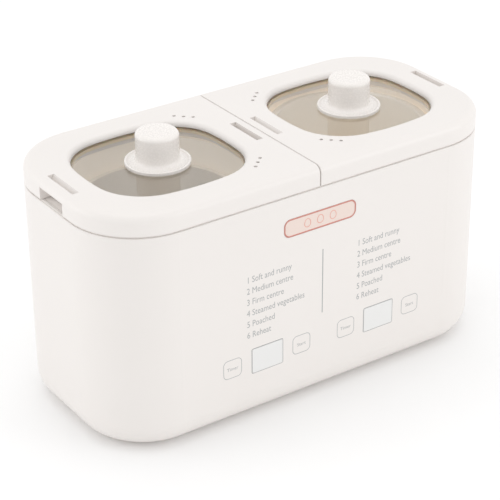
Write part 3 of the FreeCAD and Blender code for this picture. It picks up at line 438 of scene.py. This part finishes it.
def finish_piece(name, mark, material, body="base"):
    """Turn a bmesh into a piece that rides on a CAD body."""
    bmesh.ops.remove_doubles(mark, verts=mark.verts, dist=MERGE)
    mesh = bpy.data.meshes.new(name)
    mark.to_mesh(mesh)
    mark.free()
    mesh.materials.append(material)
    piece = bpy.data.objects.new(name, mesh)
    bpy.context.scene.collection.objects.link(piece)
    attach(piece, body)
    print(f"{name}: {len(mesh.polygons)} faces on {body}")


print(f"front face at y = {FACE / MM:.2f} mm")

# %% [markdown]
# ## Screens and keys
# Each side has a small display with a touch key on either side of it. The display's lens comes
# from the CAD, so the outlines take their places from its box. The keys are printed outlines
# over sensor pads: nothing is pressed in, so they have no travel.

# %% Outlines of screens and keys
LINE = 0.38 * MM
SCREEN_MARGIN = 3 * LINE
SCREEN_CORNER = 1.2 * MM
KEY_WIDTH, KEY_HEIGHT, KEY_CORNER = 13.4 * MM, 13.0 * MM, 3.2 * MM
lens_low, lens_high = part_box("display_lens_left")
lens_size = lens_high - lens_low
pad_low, pad_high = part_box("touch_pads")
lens_centres = [centre_of(f"display_lens_{side}") for side in SIDES]
key_reach = (lens_centres[0].x - pad_low.x) - (pad_high.z - pad_low.z) / 2
key_centres = [(lens.x + way * key_reach, lens.z, way) for lens in lens_centres for way in (-1, 1)]

frames = []
for lens in lens_centres:
    mark = rounded_plate(lens_size.x + SCREEN_MARGIN, lens_size.z + SCREEN_MARGIN, SCREEN_CORNER)
    hollow_out(mark, LINE)
    thicken(mark, INK)
    stand_at(mark, lens.x, lens.z)
    frames.append(mark)
finish_piece("screen_outlines", gather(frames), ink_grey)

keys = []
for across, up, way in key_centres:
    mark = rounded_plate(KEY_WIDTH, KEY_HEIGHT, KEY_CORNER)
    hollow_out(mark, LINE)
    thicken(mark, INK)
    stand_at(mark, across, up)
    keys.append(mark)
finish_piece("key_outlines", gather(keys), ink_grey)

# %% [markdown]
# ## Lettering
# The legends are plain cooking programmes with their numbers. Blender's text object lays out
# the letters, and it is made a mesh before it is placed. The letters are squeezed sideways,
# because a condensed face is what fits a long legend beside a narrow screen.

# %% Legends and key words
CAP_SHARE = 0.36


def lettering(words, size, squeeze, across, up, centred=False):
    """One line of text as a thin solid on the front, squeezed sideways."""
    curve = bpy.data.curves.new("line", "FONT")
    curve.body = words
    curve.size = size
    curve.extrude = INK / 2
    curve.resolution_u = 3
    curve.align_x = "CENTER" if centred else "LEFT"
    holder = bpy.data.objects.new("line", curve)
    mesh = bpy.data.meshes.new_from_object(holder)
    bpy.data.objects.remove(holder)
    line = bmesh.new()
    line.from_mesh(mesh)
    bpy.data.meshes.remove(mesh)
    bmesh.ops.scale(line, vec=(squeeze, 1, 1), verts=line.verts)
    bmesh.ops.translate(line, vec=(0, -size * CAP_SHARE, INK / 4), verts=line.verts)
    stand_at(line, across, up)
    return line


PROGRAMMES = ("1 Soft and runny", "2 Medium centre", "3 Firm centre", "4 Steamed vegetables",
              "5 Poached", "6 Reheat")
LEGEND_SIZE, LEGEND_SQUEEZE, LEGEND_PITCH = 6.0 * MM, 0.82, 7.6 * MM
LEGEND_TOP = 100.3 * MM
LEGEND_STARTS = {"left": -54.0 * MM, "right": 28.6 * MM}
WORD_SIZE, WORD_STRETCH = 3.2 * MM, 1.05
for side in SIDES:
    start = LEGEND_STARTS[side]
    lines = [lettering(words, LEGEND_SIZE, LEGEND_SQUEEZE, start, LEGEND_TOP - row * LEGEND_PITCH)
             for row, words in enumerate(PROGRAMMES)]
    finish_piece(f"legend_{side}", gather(lines), ink_grey)
key_words = [lettering("Timer" if way < 0 else "Start", WORD_SIZE, WORD_STRETCH, across, up, centred=True)
             for across, up, way in key_centres]
finish_piece("key_words", gather(key_words), ink_grey)

# %% Divider between the two legends
DIVIDER_WIDTH, DIVIDER_HEIGHT = 0.7 * MM, 44.5 * MM
DIVIDER_ACROSS, DIVIDER_LEVEL = 2.2 * MM, 82.2 * MM
divider = rounded_plate(DIVIDER_WIDTH, DIVIDER_HEIGHT, 0)
thicken(divider, INK)
stand_at(divider, DIVIDER_ACROSS, DIVIDER_LEVEL)
finish_piece("panel_divider", divider, ink_grey)

# %% [markdown]
# ## Badge
# The CAD badge is a peach enamel tablet flush with the casing. Its rose rim stands a tenth of a
# millimetre proud, with a soft edge, so it catches a highlight. Three egg outlines fill the
# tablet: each starts as a circle whose upper half is stretched, which is what makes an egg.

# %% Badge rim and eggs
badge_low, badge_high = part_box("front_badge")
badge_size = badge_high - badge_low
badge_centre = centre_of("front_badge")
BADGE_CORNER, BADGE_SEGMENTS = 4.5 * MM, 12
RIM_WIDTH, RIM_BODY, RIM_SOFTNESS = 0.95 * MM, 0.13 * MM, 0.09 * MM
rim = rounded_plate(badge_size.x, badge_size.z, BADGE_CORNER, BADGE_SEGMENTS)
hollow_out(rim, RIM_WIDTH)
thicken(rim, RIM_BODY)
top = max(vertex.co.z for vertex in rim.verts)
crown = [edge for edge in rim.edges if all(vertex.co.z > top - MERGE for vertex in edge.verts)
         and len({round(face.normal.z, 3) for face in edge.link_faces}) > 1]
bmesh.ops.bevel(rim, geom=crown, affect="EDGES", offset=RIM_SOFTNESS, segments=2, profile=0.5,
                material=-1)
stand_at(rim, badge_centre.x, badge_centre.z)
finish_piece("badge_rim", rim, rose_metal)

EGG_RADIUS, EGG_STRETCH, EGG_DROP = 2.5 * MM, 1.36, 0.4 * MM
EGG_LINE, EGG_PITCH = 0.42 * MM, 9.5 * MM
eggs = []
for place in (-1, 0, 1):
    egg = bmesh.new()
    bmesh.ops.create_circle(egg, cap_ends=True, segments=40, radius=EGG_RADIUS)
    upper = [vertex for vertex in egg.verts if vertex.co.y > 0]
    bmesh.ops.scale(egg, vec=(1, EGG_STRETCH, 1), verts=upper)
    bmesh.ops.translate(egg, vec=(0, -EGG_DROP, 0), verts=egg.verts)
    hollow_out(egg, EGG_LINE)
    thicken(egg, INK)
    stand_at(egg, badge_centre.x + place * EGG_PITCH, badge_centre.z)
    eggs.append(egg)
finish_piece("badge_eggs", gather(eggs), rose_ink)

# %% [markdown]
# ## Cross recesses
# The screws under the base and in the deck have cross recesses. A 3 by 3 grid with its corners
# taken off is a cross, and a dark inlay of it is painted shade, standing for the shadow deep in
# the recess on so small a head. Each screw's centre is its group's box corner, moved in by the head's radius.

# %% Painted shade of the cross recesses on the screws
CROSS_REACH = 0.55
CROSS_ARM = 0.2
HEAD = 2.8 * MM


def cross_marks(node, head_radius, faces_down):
    """A cross of painted recess shade on each of four screw heads that share one CAD node."""
    low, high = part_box(node)
    marks = []
    for across in (low.x + head_radius, high.x - head_radius):
        for along in (low.y + head_radius, high.y - head_radius):
            cross = bmesh.new()
            bmesh.ops.create_grid(cross, x_segments=3, y_segments=3, size=head_radius * CROSS_REACH)
            reach = head_radius * CROSS_ARM
            corners = [face for face in cross.faces
                       if min(abs(face.calc_center_median().x), abs(face.calc_center_median().y)) > reach]
            bmesh.ops.delete(cross, geom=corners, context="FACES")
            thicken(cross, INK)
            turn = math.pi if faces_down else 0.0
            level = low.z if faces_down else high.z
            matrix = Matrix.Translation((across, along, level)) @ Matrix.Rotation(turn, 4, "X")
            bmesh.ops.transform(cross, matrix=matrix, verts=cross.verts)
            marks.append(cross)
    return gather(marks)


finish_piece("base_screw_recess_shade", cross_marks("base_screws", HEAD, True), painted_recess_shade)
finish_piece("deck_screw_recess_shade", cross_marks("deck_screws", HEAD, False), painted_recess_shade)

# %% [markdown]
# ## Floor, light and camera
# White goods are shot in a bright tent, with light from every side. A white world does most of
# the work. Three large soft lamps then model the form: one overhead for the top, one on the right
# for the front, and one behind on the left for the end, so the curved corner between is darkest.
# Light has to bounce many times in the cream bowls before they look cream, so the bounce limits
# are raised.

# %% Floor
FLOOR_REACH = 4.0
floor_mesh = bmesh.new()
bmesh.ops.create_grid(floor_mesh, x_segments=1, y_segments=1, size=FLOOR_REACH)
mesh = bpy.data.meshes.new("floor")
floor_mesh.to_mesh(mesh)
floor_mesh.free()
floor = bpy.data.objects.new("floor", mesh)
bpy.context.scene.collection.objects.link(floor)
mesh.materials.append(moulded("floor_paint", (0.93, 0.93, 0.93), (0.92, 0.92, 0.92), 0.8, 60.0, 0.01 * MM))
print("floor at z = 0")

# %% World and lamps
world = bpy.data.worlds.new("tent")
world.use_nodes = True
backdrop = next(item for item in world.node_tree.nodes if item.type == "BACKGROUND")
backdrop.inputs["Color"].default_value = (1.0, 1.0, 1.0, 1)
backdrop.inputs["Strength"].default_value = 1.0
bpy.context.scene.world = world
target = (cad_low + cad_high) / 2


def softbox(name, place, size, power):
    """A square area lamp that faces the cooker."""
    lamp = bpy.data.lights.new(name, "AREA")
    lamp.size = size
    lamp.energy = power
    holder = bpy.data.objects.new(name, lamp)
    holder.location = place
    holder.rotation_mode = "QUATERNION"
    holder.rotation_quaternion = (target - Vector(place)).to_track_quat("-Z", "Y")
    bpy.context.scene.collection.objects.link(holder)


LAMPS = [
    ("overhead", (0.0, 0.2, 1.7), 1.4, 3.0),
    ("right_front", (1.3, -1.5, 0.7), 1.0, 5.5),
    ("left_rear", (-1.5, 0.9, 0.6), 1.0, 4.0),
]
for name, place, size, power in LAMPS:
    softbox(name, place, size, power)
bpy.context.scene.view_settings.view_transform = "Standard"
bounces = bpy.context.scene.cycles
bounces.max_bounces = 24
bounces.diffuse_bounces = 14
bounces.glossy_bounces = 10
bounces.transmission_bounces = 14
print(len(LAMPS), "soft lamps in a white world")

# %% Camera
AIM = Vector((-4.1, 2.0, 75.2)) * MM
AZIMUTH, ELEVATION, ROLL = math.radians(-34.21), math.radians(28.22), math.radians(-0.48)
DISTANCE = 1.1359
back = Vector((math.sin(AZIMUTH) * math.cos(ELEVATION), -math.cos(AZIMUTH) * math.cos(ELEVATION),
               math.sin(ELEVATION)))
optics = bpy.data.cameras.new("camera")
optics.sensor_width = 36.0
optics.lens = 127.55
camera = bpy.data.objects.new("camera", optics)
camera.rotation_mode = "QUATERNION"
camera.location = AIM + back * DISTANCE
camera.rotation_quaternion = Quaternion(back, ROLL) @ (-back).to_track_quat("-Z", "Y")
bpy.context.scene.collection.objects.link(camera)
bpy.context.scene.camera = camera
print("camera at", [round(v, 3) for v in camera.location])
